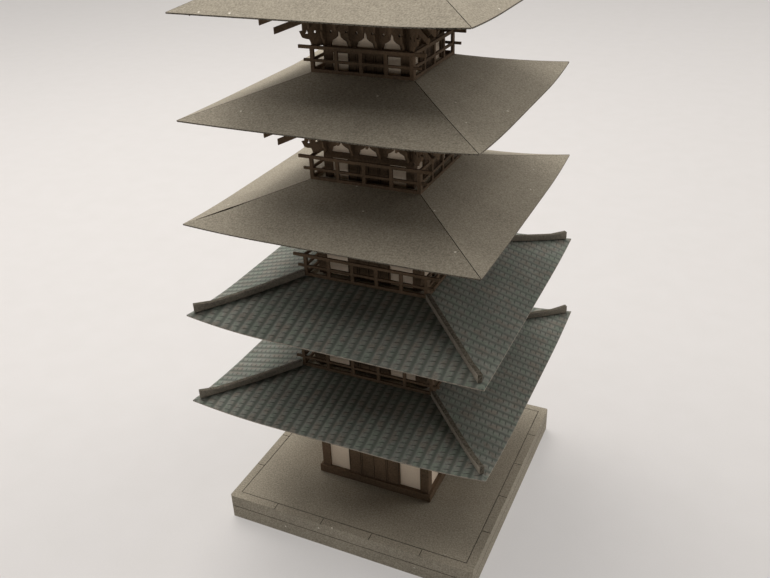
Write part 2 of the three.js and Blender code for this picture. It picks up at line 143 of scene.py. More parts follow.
def card_surface(tree, light, dark, edge, fibre_mm=0.5, grain=0.6, roughness=0.85, fleck=None):
    """Shader nodes for one card, from its light, dark and cut edge tone.

    Returns the Principled node, and the node that mixes the face tone with the cut edge.
    """
    place = add_node(tree, "ShaderNodeTexCoord").outputs["Object"]
    drift = add_node(
        tree, "ShaderNodeTexNoise",
        {"Vector": place, "Scale": 1 / (DRIFT_MM * MM), "Detail": 2.0, "Roughness": 0.5},
    )
    fibre = add_node(
        tree, "ShaderNodeTexNoise",
        {"Vector": place, "Scale": 1 / (fibre_mm * MM), "Detail": 3.0, "Roughness": 0.75},
    )
    mottle = add_node(
        tree, "ShaderNodeMix",
        {"Factor": grain, "A": drift.outputs["Fac"], "B": fibre.outputs["Fac"]},
        data_type="FLOAT",
    )
    tone = set_ramp(
        add_node(tree, "ShaderNodeValToRGB", {"Fac": mottle.outputs[0]}),
        [(0.34, linear(dark)), (0.66, linear(light))],
    )
    final = tone.outputs["Color"]
    if fleck:
        cells = add_node(
            tree, "ShaderNodeTexVoronoi",
            {"Vector": place, "Scale": 1 / (FLECK_SPACING_MM * MM)},
        )
        dot = set_ramp(
            add_node(tree, "ShaderNodeValToRGB", {"Fac": cells.outputs["Distance"]}),
            [(0.05, (1, 1, 1, 1)), (0.09, (0, 0, 0, 1))],
        )
        lottery = add_node(
            tree, "ShaderNodeMath", {0: cells.outputs["Color"], 1: 1 - FLECK_ODDS},
            operation="GREATER_THAN",
        )
        share = add_node(
            tree, "ShaderNodeMath", {0: dot.outputs["Color"], 1: lottery.outputs[0]},
            operation="MULTIPLY",
        )
        final = add_node(
            tree, "ShaderNodeMix",
            {"Factor": share.outputs[0], "A": final, "B": linear(fleck)},
            data_type="RGBA",
        ).outputs["Result"]
    cut = add_node(tree, "ShaderNodeAttribute", attribute_name=CUT_EDGE)
    patches = set_ramp(
        add_node(tree, "ShaderNodeValToRGB", {"Fac": fibre.outputs["Fac"]}),
        [(0.42, linear("#aaaaaa")), (0.58, (1, 1, 1, 1))],
    )
    burnt = add_node(
        tree, "ShaderNodeMath", {0: cut.outputs["Fac"], 1: patches.outputs["Color"]},
        operation="MULTIPLY",
    )
    whole = add_node(
        tree, "ShaderNodeMix",
        {"Factor": burnt.outputs[0], "A": final, "B": linear(edge)},
        data_type="RGBA",
    )
    bump = add_node(
        tree, "ShaderNodeBump",
        {"Height": fibre.outputs["Fac"], "Strength": 0.3, "Distance": GRAIN_RELIEF_MM * MM},
    )
    surface = add_node(
        tree, "ShaderNodeBsdfPrincipled",
        {"Base Color": whole.outputs["Result"], "Roughness": roughness, "IOR": CARD_IOR,
         "Specular IOR Level": 0.3, "Normal": bump.outputs["Normal"]},
    )
    return surface, whole


def card_material(name, light, dark, edge, **kind):
    """A whole card material from its light, dark and cut edge tone."""
    material, tree, output = empty_material(name)
    surface, _ = card_surface(tree, light, dark, edge, **kind)
    tree.links.new(surface.outputs["BSDF"], output.inputs["Surface"])
    return material


# %% [markdown]
# ## The four plain cards
# Grey board is unbleached waste-paper board: warm grey, coarse in grain, with white flecks.
# The brown card is dyed through, and the laser has darkened it a little. The white card of
# the wall boxes is smooth, with hardly any tone of its own. The ridge strips are a greyer
# brown.

# %% Plain card materials
grey_board = card_material(
    "grey_board", "#b6ae9d", "#807a6d", "#3b352d", fibre_mm=0.42, grain=0.85, roughness=0.92,
    fleck="#e4dfd2",
)
brown_card = card_material("laser_cut_brown_card", "#78634e", "#4c4031", "#241c15")
white_card = card_material("smooth_white_card", "#fdedd8", "#f1e0c9", "#8f8274", roughness=0.8)
ridge_strip_card = card_material(
    "grey_brown_strip_card", "#979082", "#676158", "#474237", roughness=0.88
)
print("cards:", ", ".join(m.name for m in (grey_board, brown_card, white_card, ridge_strip_card)))

# %% [markdown]
# ## Tile sheet
# The tile sheets are blue-grey card, embossed in rows that run down the slope, and printed
# darker in the hollows. The pattern has to follow each slope, so it reads the piece's own
# UV map: U counts the rows, V counts the tiles up a row. Two masks make it. The valley
# between two rows is darker and soft. That is partly the print and partly painted shade:
# it is darker on one side of each row, the side that lies in shade on the front slopes.
# Under the foot of each tile a short dark tick runs from that valley to the middle of the
# row, on the same side all along. It is a painted shadow, the shade under each tile's foot.
# The print is uneven, so the tone wanders between a greenish and a pinkish grey.
# The rows and ticks were measured on the picture with its perspective taken out.

# %% Tile sheet material
TICK_SLANT = 0.33  # rise of a tick across one row, in tiles
TICK_LEVEL_AT = 0.7  # place across the row where a tick is level with the tile's foot
INK_MM = 2.5  # size of the greenish and pinkish patches
# strength of the valley tone, part print and part painted shade
VALLEY_SHADE = 0.85
# strength of the painted shadow ticks
TICK_SHADE = 0.72


def tile_material():
    material, tree, output = empty_material("embossed_tile_sheet")
    uv = add_node(tree, "ShaderNodeUVMap", uv_map="rows")
    split = add_node(tree, "ShaderNodeSeparateXYZ", {"Vector": uv.outputs["UV"]})

    def math_node(operation, a, b=0.0):
        return add_node(tree, "ShaderNodeMath", {0: a, 1: b}, operation=operation).outputs[0]

    def mix(factor, a, b):
        return add_node(
            tree, "ShaderNodeMix", {"Factor": factor, "A": a, "B": b}, data_type="RGBA"
        ).outputs["Result"]

    def mask(value, *stops):
        stops = [(position, (level, level, level, 1)) for position, level in stops]
        return set_ramp(add_node(tree, "ShaderNodeValToRGB", {"Fac": value}), stops).outputs[0]

    across = math_node("FRACT", split.outputs["X"])
    slant = math_node("MULTIPLY", math_node("SUBTRACT", across, TICK_LEVEL_AT), TICK_SLANT)
    up = math_node("FRACT", math_node("SUBTRACT", split.outputs["Y"], slant))
    # Valley tone: the print in the hollow, with painted shade on one side of each row
    valley = mask(across, (0.0, 0.75), (0.14, 0), (0.58, 0), (0.8, 0.9), (0.9, 1), (1.0, 0.75))
    # Painted shadow under the foot of each tile, over the part of the row beside the valley's
    # darker side
    tick_shadow_reach = mask(across, (0.14, 0), (0.34, 0.7), (0.6, 1), (0.74, 0.7), (0.83, 0))
    tick_shadow_line = mask(up, (0.0, 0.2), (0.05, 0), (0.76, 0), (0.83, 1), (0.93, 1), (1.0, 0.2))
    tick = math_node("MULTIPLY", tick_shadow_reach, tick_shadow_line)
    surface, whole = card_surface(tree, "#92948c", "#6c706a", "#a1978a", roughness=0.8)
    place = add_node(tree, "ShaderNodeTexCoord").outputs["Object"]
    ink = add_node(
        tree, "ShaderNodeTexNoise",
        {"Vector": place, "Scale": 1 / (INK_MM * MM), "Detail": 1.0},
    )
    tint = set_ramp(
        add_node(tree, "ShaderNodeValToRGB", {"Fac": ink.outputs["Fac"]}),
        [(0.35, linear("#f4fff8")), (0.5, (1, 1, 1, 1)), (0.65, linear("#fff3ee"))],
    )
    plain = whole.inputs["A"].links[0].from_socket
    inked = add_node(
        tree, "ShaderNodeMix",
        {"Factor": 1.0, "A": plain, "B": tint.outputs["Color"]},
        data_type="RGBA", blend_type="MULTIPLY",
    ).outputs["Result"]
    # the valley tone, print and painted shade together
    valley_print_and_shade = mix(math_node("MULTIPLY", valley, VALLEY_SHADE), inked, linear("#595f58"))
    # the painted shadow ticks, in a dark grey-green
    tick_shadowed = mix(math_node("MULTIPLY", tick, TICK_SHADE), valley_print_and_shade, linear("#2f332e"))
    tree.links.new(tick_shadowed, whole.inputs["A"])
    tree.links.new(surface.outputs["BSDF"], output.inputs["Surface"])
    return material


tile_sheet = tile_material()
print("material", tile_sheet.name)

# %% [markdown]
# ## Dressing the CAD parts
# Most parts are plain cut card, and the CAD shape is already right. They stay, and get their
# card in the material slot that they came with. Making them again would only copy them. The
# name of a node says which card it is cut from.

# %% Give every CAD node its card
CARD_OF = {
    "grey_card": grey_board,
    "brown_card": brown_card,
    "white_card": white_card,
    "tile_card": tile_sheet,
    "ridge_card": ridge_strip_card,
}


def card_for(name):
    """The slot of a CAD node, from what it is on the model."""
    if name.startswith("base") or name.endswith("cover"):
        return "grey_card"
    if name.endswith("walls"):
        return "white_card"
    if name.endswith("tiles"):
        return "tile_card"
    return "ridge_card" if "ridge" in name else "brown_card"


for name, node in nodes.items():
    for material_slot in node.material_slots:
        material_slot.material = CARD_OF[card_for(name)]
print({slot: sum(card_for(n) == slot for n in nodes) for slot in CARD_OF})

# %% [markdown]
# ## The shape of a roof
# Each roof sheet is straight from the eave up to the flat that carries the next storey, and
# its eave is level in the middle and curls up towards the corners. The CAD solids are cut
# into flat facets, and subdividing those would round off their corners too. So the same few
# numbers as in the CAD source give the height anywhere, and a fine grid follows the true
# curve.

# %% Roof sizes and the height of the finished surface
# level is the height of the eaves between the corners, lifts are the rises of the corners
# over that, from the front left one round by the right. Hand folding made them differ.
ROOFS = [
    {"eave": 39.9, "level": 41.0, "lifts": (1.5, 1.5, 1.5, 1.5), "top": 18.7, "peak": 45.5},
    {"eave": 38.4, "level": 66.0, "lifts": (1.8, 0, 1.0, 1.3), "top": 16.8, "peak": 72.2},
    {"eave": 36.5, "level": 91.0, "lifts": (0.7, 0.3, 1.4, 1.1), "top": 14.3, "peak": 97.6},
    {"eave": 34.9, "level": 116.0, "lifts": (0.2, 0.9, 1.5, 1.2), "top": 12.6, "peak": 123.0},
    {"eave": 33.5, "level": 138.9, "lifts": (0, 0.7, 0.9, 0.9), "top": 2.5, "peak": 152.3},
]
TILED = (0, 1)  # the roofs that wear their tile sheets
ROOF_SHIFT = (0, 0, 0, 0, -1.0)  # the top roof is glued on off centre, along X
CURL_FROM = 0.4  # the eave is level up to this part of its half-length
CARD = 0.5  # thickness of the brown card
ROOF_CARD = 0.3  # and of the grey sheets
SKIN = 0.3  # and of the tile sheets
SKIN_OVERHANG = 1.0  # of a tile sheet beyond the grey sheet under it
GLUE = 0.05  # glue line between the two
CREASE = math.radians(28)  # faces that meet at more than this angle show an edge


def roof_height(roof, x, y):
    """Height of the finished roof surface over a point of the plan, in millimetres."""
    distance = max(abs(x), abs(y))
    if distance <= roof["top"]:
        return roof["peak"]
    along = min(abs(x), abs(y)) / distance
    outward = (distance - roof["top"]) / (roof["eave"] - roof["top"])
    curl = max(0.0, (along - CURL_FROM) / (1 - CURL_FROM))
    front, back = ((0, 3), (1, 2))[x > 0]
    lift = roof["lifts"][back if y > 0 else front]
    return roof["peak"] + (roof["level"] - roof["peak"]) * outward + lift * (curl * outward) ** 2


def new_bmesh():
    """An empty bmesh whose faces can be marked as cut edges."""
    bm = bmesh.new()
    bm.faces.layers.float.new(CUT_EDGE)
    return bm


def finished_piece(name, bm, material, replaced, shift=0.0, smooth=True):
    """Turns a bmesh in millimetres into a piece that stands for CAD nodes."""
    bmesh.ops.translate(bm, vec=(shift, 0, 0), verts=bm.verts)
    bmesh.ops.scale(bm, vec=(MM, MM, MM), verts=bm.verts)
    mesh = bpy.data.meshes.new(name)
    bm.to_mesh(mesh)
    bm.free()
    mesh.polygons.foreach_set("use_smooth", [smooth] * len(mesh.polygons))
    mesh.set_sharp_from_angle(angle=CREASE)
    piece = bpy.data.objects.new(name, mesh)
    bpy.context.scene.collection.objects.link(piece)
    mesh.materials.append(material)
    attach(piece, "root")
    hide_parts(*replaced)
    triangles = sum(len(face.vertices) - 2 for face in mesh.polygons)
    print(f"{name}: {triangles} triangles")


# %% [markdown]
# ## Bare roof sheets
# On the three upper roofs, and at the rims of the two lower ones, the grey board shows. On
# the real model each slope is its own sheet, and the four meet at the hips in thin dark
# seams. One folded sheet with painted lines would look alike from afar, but a seam couldn't
# gape. So each slope is drawn as a grid, laid to the curve, given the thickness of the
# board, and turned to its side. A hair of space stays open at every hip, and the cut faces
# are marked as burnt. On the third roof one seam has sprung open a little near the left
# corner, and the edges of the sheets are pulled back there.

# %% Grey board covers
SEAM = 0.18  # open width of a hip seam
SPRUNG_SEAM = 0.9  # the widest place of the open seam
SPRUNG_AT = 0.68  # where that is, from the flat top to the corner
SPRUNG_LENGTH = 0.22  # from there to where it is an ordinary seam again, either way
GLUED_SHUT_FROM = 0.88  # beyond this the same seam is closed
GLUED_SEAM = 0.04
SLOPE_GRID = (40, 12)  # faces along the eave, and from the flat top to the eave


def turned_plan(x, y, quarter):
    """A point of the plan after quarter turns round the axis."""
    for _ in range(quarter):
        x, y = -y, x
    return x, y


def slope_sheet(roof, quarter, edge, drop, columns, rows, seam_at):
    """One slope drawn facing -Y, with the heights it has once turned to its side."""
    bm = new_bmesh()
    bmesh.ops.create_grid(bm, x_segments=columns, y_segments=rows, size=1)
    for vertex in bm.verts:
        across, down = vertex.co.x, (1 - vertex.co.y) / 2
        distance = roof["top"] + (edge - roof["top"]) * down
        reach = distance - seam_at(math.copysign(1, across), down) * math.sqrt(2)
        x = across * reach
        height = roof_height(roof, *turned_plan(across * distance, -distance, quarter))
        vertex.co = (x, -distance, height - drop)
    return bm


def thicken(bm, thickness):
    """Adds a copy of an open sheet below it and walls all round, so that it closes."""
    sheet = list(bm.faces)
    lower = bmesh.ops.extrude_face_region(bm, geom=sheet, use_keep_orig=True)
    moved = [item for item in lower["geom"] if isinstance(item, bmesh.types.BMVert)]
    bmesh.ops.translate(bm, vec=(0, 0, -thickness), verts=moved)
    uncut = {*sheet, *lower["geom"]}
    mark = bm.faces.layers.float[CUT_EDGE]
    for face in bm.faces:
        face[mark] = 0.0 if face in uncut else 1.0
    bmesh.ops.recalc_face_normals(bm, faces=bm.faces)


def add_turned(target, part, quarter):
    """Adds a copy of part to target, turned by quarter turns round the axis."""
    mesh = bpy.data.meshes.new("turned")
    part.to_mesh(mesh)
    mesh.transform(Matrix.Rotation(quarter * math.pi / 2, 4, "Z"))
    target.from_mesh(mesh)
    bpy.data.meshes.remove(mesh)


def grey_sheets_piece(index):
    roof = ROOFS[index]
    edge = roof["eave"] - (SKIN_OVERHANG if index in TILED else 0)
    drop = SKIN + GLUE if index in TILED else 0
    whole = new_bmesh()
    for quarter in range(4):

        def seam_at(side, down):
            # The sprung seam is the one between the left and the front slope
            sprung = index == 2 and (quarter, side) in ((0, -1), (3, 1))
            if sprung and down > GLUED_SHUT_FROM:
                return GLUED_SEAM / 2
            swell = max(0.0, 1 - abs(down - SPRUNG_AT) / SPRUNG_LENGTH) if sprung else 0.0
            return SEAM / 2 + (SPRUNG_SEAM - SEAM) / 2 * swell

        part = slope_sheet(roof, quarter, edge, drop, *SLOPE_GRID, seam_at)
        thicken(part, ROOF_CARD)
        add_turned(whole, part, quarter)
        part.free()
    flat = new_bmesh()
    bmesh.ops.create_grid(flat, x_segments=1, y_segments=1, size=roof["top"] - SEAM / 2)
    bmesh.ops.translate(flat, vec=(0, 0, roof["peak"] - drop), verts=flat.verts)
    thicken(flat, ROOF_CARD)
    add_turned(whole, flat, 0)
    flat.free()
    number = index + 1
    finished_piece(
        f"roof_{number}_grey_sheets", whole, grey_board,
        [f"roof_{number}_cover"], ROOF_SHIFT[index],
    )


for index in range(len(ROOFS)):
    grey_sheets_piece(index)

# %% [markdown]
# ## Embossed tile sheets
# Rows of round tiles run straight down each slope, two and a half millimetres apart, and
# every tile overlaps the one below it after a millimetre and a half of slope. An array of
# tiles would make hundreds of loose bodies, and the real ones are bumps in one sheet of
# card. So a rectangular grid is cut along the two hips with bisect_plane, so that the rows
# run out at the hips as they do on the real sheet, and each point is raised by the round of
# its row and the tilt of its tile. The embossing fades out at the cut eave, which is
# straight, and at the flat top. The four slopes have the same profile at a shared hip, so
# they weld into one sheet.

# %% Tile sheets on the two lower roofs
ROW_PITCH = 2.5  # from one row to the next
TILE_LENGTH = 1.5  # of a tile that shows, along the slope
FOOT_TILE = (1.2, 0.2)  # what the eave leaves of the lowest tile on each roof, in the plan
ROW_RISE = 0.1  # of a row's crest over the valley beside it
TILE_RISE = 0.05  # of a tile's foot over its head
ROW_WIDTH = 0.85  # the round part of a row, as a share of its pitch
FLAT_RIM = 0.5  # length over which the embossing fades out at the eave
COLUMNS_PER_ROW = 6
STEPS_PER_TILE = 4


def relief(rows, tiles):
    """Height of the embossing over the flat sheet, at a place counted in rows and tiles."""
    off_crest = abs(rows % 1 - 0.5) * 2
    round_row = math.cos(min(1.0, off_crest / ROW_WIDTH) * math.pi / 2) ** 0.7
    tilt = 1 - tiles % 1  # a tile is highest at its foot, where it lies on the next one
    return ROW_RISE * round_row + TILE_RISE * tilt * (0.4 + 0.6 * round_row)


def cut_away(bm, place, normal):
    """Cuts a sheet along a plane, and drops the side that the normal points to."""
    everything = [*bm.verts, *bm.edges, *bm.faces]
    bmesh.ops.bisect_plane(bm, geom=everything, plane_co=place, plane_no=normal, clear_outer=True)


def tile_slope(index, quarter):
    """One embossed slope, drawn facing -Y with the heights it has once turned."""
    roof = ROOFS[index]
    run = roof["eave"] - roof["top"]
    tile_run = TILE_LENGTH * math.cos(math.atan2(roof["peak"] - roof["level"], run))
    half_rows = math.ceil(roof["eave"] / ROW_PITCH)
    tiles = math.ceil(run / tile_run) + 1
    first_line = roof["eave"] - FOOT_TILE[index] + tile_run
    bm = new_bmesh()
    bmesh.ops.create_grid(
        bm,
        x_segments=2 * half_rows * COLUMNS_PER_ROW,
        y_segments=tiles * STEPS_PER_TILE,
        size=0.5,
    )
    depth = tiles * tile_run
    bmesh.ops.scale(bm, vec=(2 * half_rows * ROW_PITCH, depth, 1), verts=bm.verts)
    bmesh.ops.translate(bm, vec=(0, -first_line + depth / 2, 0), verts=bm.verts)
    for place, outward in (
        ((0, 0, 0), (1, 1, 0)),
        ((0, 0, 0), (-1, 1, 0)),
        ((0, -roof["top"], 0), (0, 1, 0)),
        ((0, -roof["eave"], 0), (0, -1, 0)),
    ):
        cut_away(bm, place, outward)

    def count(x, y):
        """Rows and tiles at a place of the plan. A crest runs down the middle of the slope."""
        return x / ROW_PITCH + 0.5, (first_line + y) / tile_run

    rows_uv = bm.loops.layers.uv.new("rows")
    for face in bm.faces:
        for loop in face.loops:
            loop[rows_uv].uv = count(loop.vert.co.x, loop.vert.co.y)
    for vertex in bm.verts:
        x, y, _ = vertex.co
        fade = min(1.0, (-y - roof["top"]) / TILE_LENGTH, (roof["eave"] + y) / FLAT_RIM)
        bump = relief(*count(x, y)) * max(0.0, fade)
        height = roof_height(roof, *turned_plan(x, y, quarter))
        vertex.co.z = height - ROW_RISE - TILE_RISE + bump
    return bm


def tile_sheet_piece(index):
    whole = new_bmesh()
    whole.loops.layers.uv.new("rows")
    for quarter in range(4):
        slope = tile_slope(index, quarter)
        add_turned(whole, slope, quarter)
        slope.free()
    bmesh.ops.remove_doubles(whole, verts=whole.verts, dist=0.01)
    thicken(whole, SKIN)
    number = index + 1
    finished_piece(
        f"roof_{number}_tile_sheet", whole, tile_sheet, [f"roof_{number}_tiles"]
    )


for index in TILED:
    tile_sheet_piece(index)

# %% [markdown]
# ## Cutting fine detail into a CAD part
# The laser also scores lines that stay under the surface and pierces small holes. Those are
# too fine for the CAD solids. Painted lines would be quicker, but a real groove keeps its
# shade from every side. So a boolean modifier takes a set of small cutters out of a copy of
# the CAD part, which keeps its exact size. The copy is merged first, because the packed
# mesh is loose triangles, and flat triangles are dissolved so that the cuts stay clean.

# %% Carving helper
WELD = 0.002  # corners closer than this are one
FLAT = math.radians(0.5)  # faces that turn by less than this are one


def loose_object(name, bm):
    mesh = bpy.data.meshes.new(name)
    bm.to_mesh(mesh)
    bm.free()
    made = bpy.data.objects.new(name, mesh)
    bpy.context.scene.collection.objects.link(made)
    return made


def merged_copy(node_name):
    """A copy of a CAD node in millimetres, welded, with its flat triangles joined."""
    whole = bmesh.new()
    whole.from_mesh(nodes[node_name].data)
    whole.transform(nodes[node_name].matrix_world)
    bmesh.ops.scale(whole, vec=(1 / MM, 1 / MM, 1 / MM), verts=whole.verts)
    mark = whole.faces.layers.float.new(CUT_EDGE)
    for face in whole.faces:
        face[mark] = 0.0
    bmesh.ops.remove_doubles(whole, verts=whole.verts, dist=WELD)
    bmesh.ops.dissolve_limit(whole, angle_limit=FLAT, verts=whole.verts, edges=whole.edges)
    return whole


def carved_piece(name, node_name, cutters, material):
    """A piece like the CAD node, with the cutters (a bmesh in millimetres) taken out."""
    whole = merged_copy(node_name)
    mark = cutters.faces.layers.float[CUT_EDGE]
    for face in cutters.faces:
        face[mark] = 1.0
    body = loose_object("body", whole)
    tool = loose_object("tool", cutters)
    carve = body.modifiers.new("carve", "BOOLEAN")
    carve.operation = "DIFFERENCE"
    carve.solver = "EXACT"
    carve.use_self = True
    carve.object = tool
    carved_mesh = bpy.data.meshes.new_from_object(
        body.evaluated_get(bpy.context.evaluated_depsgraph_get())
    )
    carved = bmesh.new()
    carved.from_mesh(carved_mesh)
    mark = carved.faces.layers.float[CUT_EDGE]
    print(f"{name}: {sum(face[mark] > 0.5 for face in carved.faces)} cut faces")
    for leftover in (body.data, tool.data, carved_mesh):
        bpy.data.meshes.remove(leftover)
    finished_piece(name, carved, material, [node_name], smooth=False)


def add_box(bm, low, high):
    """Adds a box between two corners."""
    made = bmesh.ops.create_cube(bm, size=1)["verts"]
    size = [b - a for a, b in zip(low, high)]
    middle = [(a + b) / 2 for a, b in zip(low, high)]
    bmesh.ops.scale(bm, vec=size, verts=made)
    bmesh.ops.translate(bm, vec=middle, verts=made)


def four_sides(bm):
    """Repeats what a bmesh holds on all four sides of the tower."""
    whole = new_bmesh()
    for quarter in range(4):
        add_turned(whole, bm, quarter)
    bm.free()
    return whole


# %% [markdown]
# ## Base with scored slabs
# The deck is scored into a border of stone slabs: a line all round, and four short lines a
# side from it to the edge. One more line runs round the side walls at mid-height. Each is a
# groove a fifth of a millimetre wide, burnt dark. The lines that go all round are cut with a
# square ring, a small section spun in four steps, and the short ones with thin boxes.

# %% Base deck and base walls
BASE_HALF = 36.0
BASE_TOP = 7.6
SCORE_WIDTH = 0.19
SCORE_DEPTH = 0.3
SHALLOWER = 0.03  # by so much the short scores stay above the ring's floor
BORDER = 2.4  # from the edge to the line all round
SLABS = 5  # along each side
WALL_SCORE_HEIGHT = 4.0


def square_ring(inner, outer, low, high):
    """A square ring round the axis: its section stands on a corner's diagonal and is spun."""
    bm = new_bmesh()
    section = [
        bm.verts.new((reach, reach, z))
        for reach, z in ((inner, low), (outer, low), (outer, high), (inner, high))
    ]
    outline = [bm.edges.new(pair) for pair in zip(section, section[1:] + section[:1])]
    bmesh.ops.spin(
        bm, geom=[*section, *outline], cent=(0, 0, 0), axis=(0, 0, 1), dvec=(0, 0, 0),
        angle=2 * math.pi, steps=4, use_merge=True, use_duplicate=False,
    )
    bmesh.ops.recalc_face_normals(bm, faces=bm.faces)
    return bm


def deck_scores():
    half = SCORE_WIDTH / 2
    line = BASE_HALF - BORDER
    low = BASE_TOP - SCORE_DEPTH
    side = new_bmesh()
    slab = 2 * BASE_HALF / SLABS
    for count in range(1, SLABS):
        x = -BASE_HALF + count * slab
        # No two cutter faces may lie in one plane, so the heights differ from the ring's
        lowest = (x - half, -BASE_HALF - 1, low + SHALLOWER)
        add_box(side, lowest, (x + half, -line, BASE_TOP + 1))
    whole = four_sides(side)
    add_turned(whole, square_ring(line - half, line + half, low, BASE_TOP + 2), 0)
    return whole


def wall_scores():
    half = SCORE_WIDTH / 2
    middle = WALL_SCORE_HEIGHT
    return square_ring(BASE_HALF - SCORE_DEPTH, BASE_HALF + 2, middle - half, middle + half)


carved_piece("base_scored_deck", "base_deck", deck_scores(), grey_board)
carved_piece("base_scored_walls", "base_walls", wall_scores(), grey_board)

# %% [markdown]
# ## Timber frames with engraved doors
# The laser has engraved the plank joints into each door: single and double lines from sill
# to head. Loose planks would be wrong, as the real door is one sheet. So the lines are cut a
# tenth of a millimetre into the half millimetre of brown card, with thin boxes.

# %% Storey frames
# body: half-width over the frame. door: half-width of the door. foot: height of the floor, or
# of the sill's top. head: height where the wall ends and the bracket plate begins.
STOREYS = [
    {"body": 16.4, "door": 7.8, "foot": 10.0, "head": 27.5},
    {"body": 16.2, "door": 5.9, "foot": 45.5, "head": 54.5},
    {"body": 14.0, "door": 5.7, "foot": 72.2, "head": 80.2},
    {"body": 11.6, "door": 5.4, "foot": 97.6, "head": 103.6},
    {"body": 10.5, "door": 4.4, "foot": 123.0, "head": 128.1},
]
ENGRAVED_WIDTH = 0.16
ENGRAVED_DEPTH = 0.12
ENGRAVED_LIFT = 0.1  # of a line's lower end over the sill or floor
DOUBLE_GAP = 0.5  # between the two lines of a double joint
JAMB_LINE = 0.3  # from the edge of the door to its first line
HEAD_BEAM = 0.9  # height of the beam over the door


def door_lines(storey):
    side = new_bmesh()
    face = -storey["body"] + ENGRAVED_DEPTH
    plank = storey["door"] / 2
    places = [0.0]
    for outer in (-plank, plank):
        places += [outer - DOUBLE_GAP / 2, outer + DOUBLE_GAP / 2]
    places += [-storey["door"] + JAMB_LINE, storey["door"] - JAMB_LINE]
    for x in places:
        add_box(
            side,
            (x - ENGRAVED_WIDTH / 2, face - 1, storey["foot"] + ENGRAVED_LIFT),
            (x + ENGRAVED_WIDTH / 2, face, storey["head"] - HEAD_BEAM),
        )
    return four_sides(side)


for index, storey in enumerate(STOREYS):
    number = index + 1
    carved_piece(
        f"storey_{number}_engraved_frame", f"storey_{number}_frame",
        door_lines(storey), brown_card,
    )

# %% [markdown]
# ## Pierced brackets
# The plate behind the bracket arms is pierced with pairs of small round holes that show the
# white box behind as light dots, and each corner plate with a bell shape and a round hole.
# A painted dot couldn't show what lies behind it, so they are real holes: a round one is a
# create_cone cylinder with few sides, the bell an extruded outline.

# %% Brackets
HOLE_RADIUS = 0.32
GROUP_INSET = 0.9  # of the outer bracket groups inside the corners of the storey
HOLE_OFF_GROUP = 1.25  # from the middle of a bracket group
NO_HOLE_WITHIN = 1.2  # of a corner
HOLE_HEIGHT = 3.7  # over the foot of the bracket plate
PLATE_CUTTER = CARD + 0.1  # length, enough to go through the plate in the wall
CORNER_CUTTER = 1.0  # and through a corner plate
ARM_FEET = [28.1, 55.1, 80.8, 104.2, 129.2]
# Places on a corner plate: distance out along one side, height over the arm's foot
BELL = [(2.29, 2.3), (2.80, 2.3), (2.72, 2.55), (2.58, 2.75), (2.53, 3.2), (2.45, 3.2),
        (2.40, 2.75), (2.34, 2.55)]
CORNER_HOLE = (1.13, 2.6)


def add_hole(bm, x, y, z, length):
    """Adds a cylinder along Y."""
    bmesh.ops.create_cone(
        bm, cap_ends=True, segments=12, radius1=HOLE_RADIUS, radius2=HOLE_RADIUS, depth=length,
        matrix=Matrix.Translation((x, y, z)) @ Matrix.Rotation(math.pi / 2, 4, "X"),
    )


def bracket_holes(index):
    body = STOREYS[index]["body"]
    foot = STOREYS[index]["head"]
    side = new_bmesh()
    outer = body - GROUP_INSET
    for group in (-outer, -outer / 3, outer / 3, outer):
        for off in (-HOLE_OFF_GROUP, HOLE_OFF_GROUP):
            if abs(group + off) < body - NO_HOLE_WITHIN:
                middle = (group + off, -body + CARD / 2, foot + HOLE_HEIGHT)
                add_hole(side, *middle, PLATE_CUTTER)
    # The corner cutters are drawn along +X, and turned to the front right corner
    corner = new_bmesh()
    base = ARM_FEET[index]
    outline = [
        corner.verts.new(((body + out) * math.sqrt(2), -CORNER_CUTTER / 2, base + z))
        for out, z in BELL
    ]
    face = corner.faces.new(outline)
    grown = bmesh.ops.extrude_face_region(corner, geom=[face], use_keep_orig=True)
    moved = [item for item in grown["geom"] if isinstance(item, bmesh.types.BMVert)]
    bmesh.ops.translate(corner, vec=(0, CORNER_CUTTER, 0), verts=moved)
    bmesh.ops.recalc_face_normals(corner, faces=corner.faces)
    out, z = CORNER_HOLE
    add_hole(corner, (body + out) * math.sqrt(2), 0, base + z, CORNER_CUTTER)
    bmesh.ops.rotate(
        corner, cent=(0, 0, 0), matrix=Matrix.Rotation(-math.pi / 4, 3, "Z"), verts=corner.verts
    )
    add_turned(side, corner, 0)
    corner.free()
    return four_sides(side)


for index in range(len(STOREYS)):
    number = index + 1
    carved_piece(
        f"storey_{number}_pierced_brackets", f"storey_{number}_brackets",
        bracket_holes(index), brown_card,
    )

# %% [markdown]
# ## Hip ridge strips
# Every hip of a tiled roof is capped with a strip of card that stands on edge. Its two sides
# are plain card, but its top and its square outer end are laser cuts, so those read darker.
# The CAD shape is right, so each strip is a welded copy of it. Its corners are rounded with
# bevel by a few hundredths of a millimetre, as the soft pulp of a cut corner is, and every
# face that doesn't look sideways from the hip is marked as cut.

# %% Ridge strips
HIP_SIDES = {  # which way the sides of a strip look
    "front_left": Vector((1, -1, 0)).normalized(),
    "front_right": Vector((1, 1, 0)).normalized(),
    "back_right": Vector((1, -1, 0)).normalized(),
    "back_left": Vector((1, 1, 0)).normalized(),
}
ROUNDED_CORNER = 0.06
SHARP_CORNER = math.radians(40)  # edges that turn by more than this are rounded
SIDEWAYS = 0.8  # cosine of the angle up to which a face counts as looking sideways

